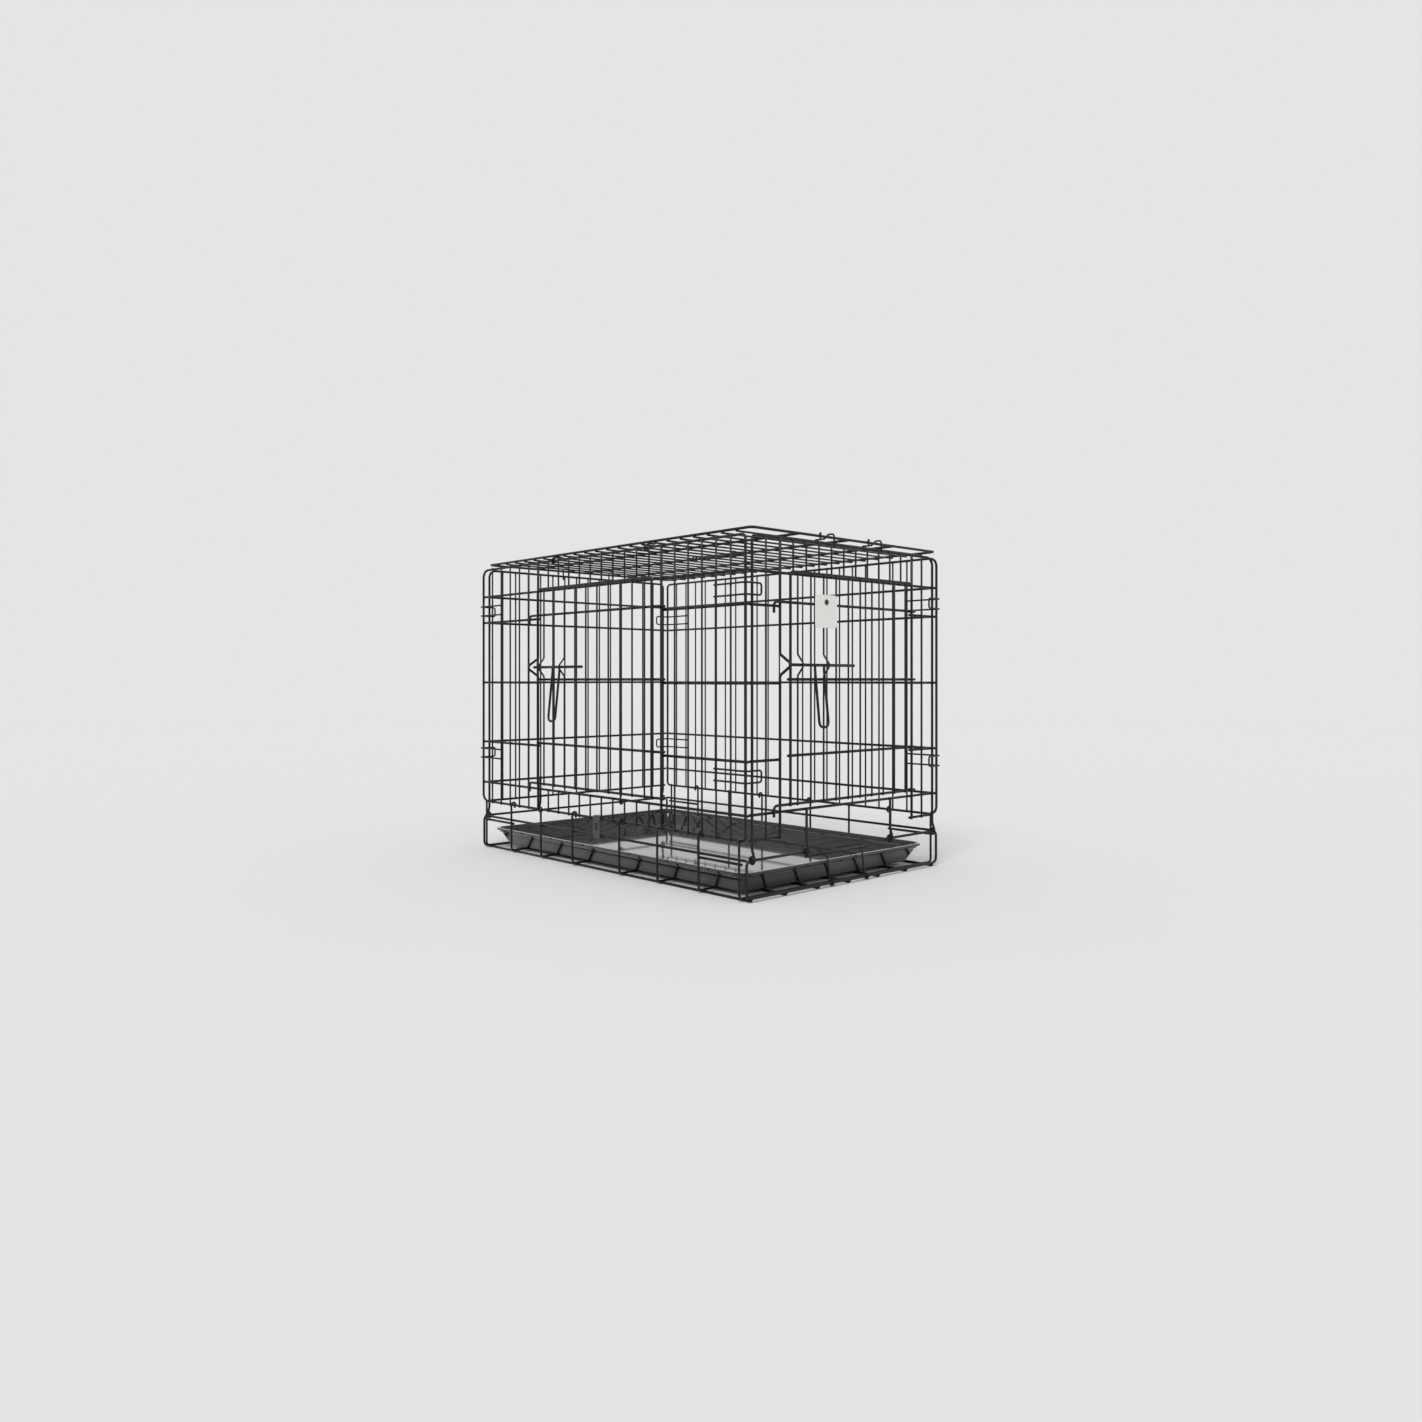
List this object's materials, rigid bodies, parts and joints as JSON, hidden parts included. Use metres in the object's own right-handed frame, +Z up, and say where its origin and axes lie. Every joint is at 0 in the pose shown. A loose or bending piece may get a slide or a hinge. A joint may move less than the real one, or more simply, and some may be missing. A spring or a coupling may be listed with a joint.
{
  "type": "wire pet crate",
  "caption": "Folding black wire pet crate with hinged roof, front and side grille doors, slide-bolt latches and a pull-out tray.",
  "frame": {"origin": "middle of the footprint at floor level", "axes": "+Z up, -Y out of the front door end, -X out of the side with the second door"},
  "size_m": [0.5318, 0.7976, 0.5872],
  "materials": {
    "black_wire": "semi-gloss powder coat",
    "black_plastic": "satin moulded",
    "grey_plastic": "matt",
    "white_tag": "matt"
  },
  "bodies": {
    "base": {"near_side_panel": "black_wire", "far_side_panel": "black_wire", "base_floor_grid": "black_wire", "base_near_rail": "black_wire", "base_far_rail": "black_wire", "base_front_wire": "black_wire", "base_back_wire": "black_wire", "rail_strap": "grey_plastic", "corner_clip_front_near_upper": "black_wire", "corner_clip_front_near_lower": "black_wire", "corner_clip_front_far_upper": "black_wire", "corner_clip_front_far_lower": "black_wire", "corner_clip_back_near_upper": "black_wire", "corner_clip_back_near_lower": "black_wire", "corner_clip_back_far_upper": "black_wire", "corner_clip_back_far_lower": "black_wire"},
    "roof": {"roof_panel": "black_wire", "roof_loop_front": "black_wire", "roof_loop_back": "black_wire", "roof_hook_front_1": "black_wire", "roof_hook_front_2": "black_wire", "roof_hook_back_1": "black_wire", "roof_hook_back_2": "black_wire"},
    "roof_grip": {"carry_handle": "black_plastic"},
    "front_end": {"front_panel": "black_wire"},
    "back_end": {"back_panel": "black_wire"},
    "front_leaf": {"front_door": "black_wire", "blank_tag": "white_tag"},
    "front_latch": {"front_bolt": "black_wire"},
    "front_latch_loop": {"front_bolt_handle": "black_wire"},
    "side_leaf": {"side_door": "black_wire"},
    "side_latch": {"side_bolt": "black_wire"},
    "side_latch_loop": {"side_bolt_handle": "black_wire"},
    "gate": {"tray_gate": "black_wire"},
    "pan": {"tray": "black_plastic"}
  },
  "joints": [
    {"name": "roof_swing", "type": "hinge", "parent": "base", "child": "roof", "pos_m": [-0.23361, 0.01061, 0.568], "axis": [0, 1, 0], "range_deg": [-180, 0]},
    {"name": "grip_swing", "type": "hinge", "parent": "roof", "child": "roof_grip", "pos_m": [0.01096, -0.03511, 0.58], "axis": [0, -1, 0], "range_deg": [0, 165]},
    {"name": "front_fold", "type": "hinge", "parent": "base", "child": "front_end", "pos_m": [0.01096, -0.37078, 0.065], "axis": [1, 0, 0], "range_deg": [-90, 0]},
    {"name": "back_fold", "type": "hinge", "parent": "base", "child": "back_end", "pos_m": [0.01096, 0.39201, 0.065], "axis": [-1, 0, 0], "range_deg": [-84, 0]},
    {"name": "front_door_swing", "type": "hinge", "parent": "front_end", "child": "front_leaf", "pos_m": [0.18328, -0.37078, 0.33], "axis": [0, 0, 1], "range_deg": [0, 130]},
    {"name": "front_bolt_slide", "type": "slide", "parent": "front_leaf", "child": "front_latch", "axis": [-1, 0, 0], "range_m": [0, 0.026]},
    {"name": "front_loop_turn", "type": "hinge", "parent": "front_latch", "child": "front_latch_loop", "pos_m": [-0.08486, -0.38648, 0.367], "axis": [-1, 0, 0], "range_deg": [0, 120]},
    {"name": "side_door_swing", "type": "hinge", "parent": "base", "child": "side_leaf", "pos_m": [-0.23791, -0.1716, 0.33], "axis": [0, 0, 1], "range_deg": [0, 130]},
    {"name": "side_bolt_slide", "type": "slide", "parent": "side_leaf", "child": "side_latch", "axis": [0, 1, 0], "range_m": [0, 0.026]},
    {"name": "side_loop_turn", "type": "hinge", "parent": "side_latch", "child": "side_latch_loop", "pos_m": [-0.25361, 0.11094, 0.367], "axis": [0, 1, 0], "range_deg": [0, 120]},
    {"name": "gate_swing", "type": "hinge", "parent": "base", "child": "gate", "pos_m": [0.01096, -0.37078, 0.007], "axis": [1, 0, 0], "range_deg": [0, 100]},
    {"name": "tray_slide", "type": "slide", "parent": "base", "child": "pan", "axis": [0, 1, 0], "range_m": [0, 0.7]}
  ]
}
